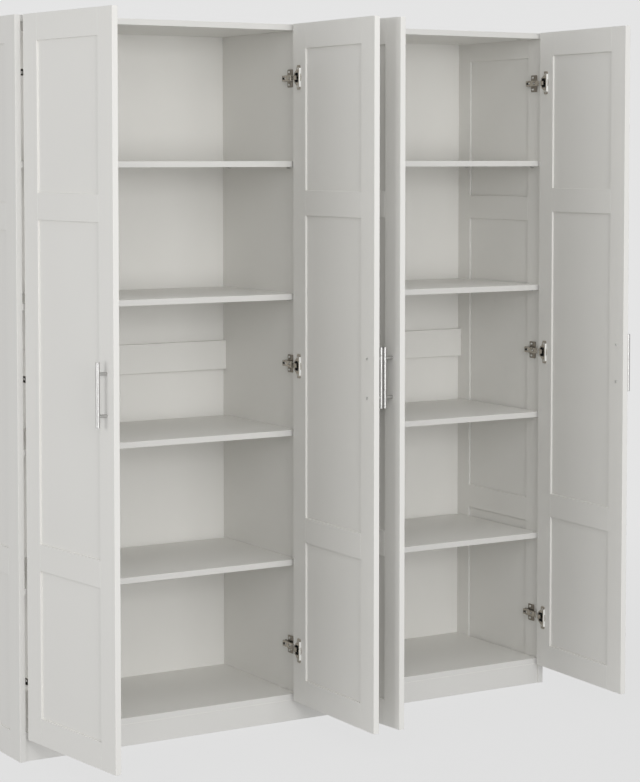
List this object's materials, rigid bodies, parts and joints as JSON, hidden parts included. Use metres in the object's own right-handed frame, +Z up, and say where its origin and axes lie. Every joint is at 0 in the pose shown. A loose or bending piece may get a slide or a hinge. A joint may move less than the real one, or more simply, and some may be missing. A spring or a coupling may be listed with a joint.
{
  "type": "pantry cabinet",
  "caption": "Tall two-bay pantry cabinet with framed doors standing open, shelves, a plinth, concealed hinges and bar handles.",
  "frame": {"origin": "on the floor, in the middle of the carcass's footprint, at the middle of the centre foot's underside", "axes": "+X to the right along the front as seen from the front, +Y from the front to the back, +Z up"},
  "size_m": [1.575, 0.8047, 1.8],
  "materials": {
    "white_board": "matte warm white melamine film on fibreboard",
    "back_board": "matte warm white lacquered hardboard",
    "hinge_nickel": "nickel-plated pressed steel",
    "screw_steel": "zinc-plated steel",
    "handle_steel": "brushed",
    "cam_zinc": "dull cast zinc"
  },
  "bodies": {
    "root": {"left_side_stiles": "white_board", "left_side_rails": "white_board", "left_side_panels": "white_board", "right_side_stiles": "white_board", "right_side_rails": "white_board", "right_side_panels": "white_board", "centre_partition": "white_board", "top_panel": "white_board", "bottom_panel": "white_board", "front_plinth": "white_board", "centre_foot": "white_board", "shelf_left_1": "white_board", "shelf_left_2": "white_board", "shelf_left_3": "white_board", "shelf_left_4": "white_board", "back_rail_left": "white_board", "back_panel_left": "back_board", "shelf_right_1": "white_board", "shelf_right_2": "white_board", "shelf_right_3": "white_board", "shelf_right_4": "white_board", "back_rail_right": "white_board", "back_panel_right": "back_board", "shelf_pins": "screw_steel", "cam_locks": "cam_zinc", "hinge_plates": "hinge_nickel", "hinge_plate_screws": "screw_steel", "hinge_arms": "hinge_nickel"},
    "door_1": {"door_1_stiles": "white_board", "door_1_rails": "white_board", "door_1_panels": "white_board", "door_1_hinge_cups": "hinge_nickel", "door_1_hinge_links": "hinge_nickel", "door_1_fixing_screws": "screw_steel", "door_1_handle_bar": "handle_steel", "door_1_handle_posts": "handle_steel"},
    "door_2": {"door_2_stiles": "white_board", "door_2_rails": "white_board", "door_2_panels": "white_board", "door_2_hinge_cups": "hinge_nickel", "door_2_hinge_links": "hinge_nickel", "door_2_fixing_screws": "screw_steel", "door_2_handle_bar": "handle_steel", "door_2_handle_posts": "handle_steel"},
    "door_3": {"door_3_stiles": "white_board", "door_3_rails": "white_board", "door_3_panels": "white_board", "door_3_hinge_cups": "hinge_nickel", "door_3_hinge_links": "hinge_nickel", "door_3_fixing_screws": "screw_steel", "door_3_handle_bar": "handle_steel", "door_3_handle_posts": "handle_steel"},
    "door_4": {"door_4_stiles": "white_board", "door_4_rails": "white_board", "door_4_panels": "white_board", "door_4_hinge_cups": "hinge_nickel", "door_4_hinge_links": "hinge_nickel", "door_4_fixing_screws": "screw_steel", "door_4_handle_bar": "handle_steel", "door_4_handle_posts": "handle_steel"}
  },
  "joints": [
    {"name": "door_1_hinge", "type": "hinge", "parent": "root", "child": "door_1", "pos_m": [-0.777, -0.2235, 0.9285], "axis": [0, 0, -1], "range_deg": [-83.5, 21.5]},
    {"name": "door_2_hinge", "type": "hinge", "parent": "root", "child": "door_2", "pos_m": [-0.009, -0.2215, 0.9285], "axis": [0, 0, 1], "range_deg": [-89.3, 0]},
    {"name": "door_3_hinge", "type": "hinge", "parent": "root", "child": "door_3", "pos_m": [0.009, -0.2215, 0.9285], "axis": [0, 0, -1], "range_deg": [-85.5, 0]},
    {"name": "door_4_hinge", "type": "hinge", "parent": "root", "child": "door_4", "pos_m": [0.777, -0.2235, 0.9285], "axis": [0, 0, 1], "range_deg": [-87, 18]}
  ]
}
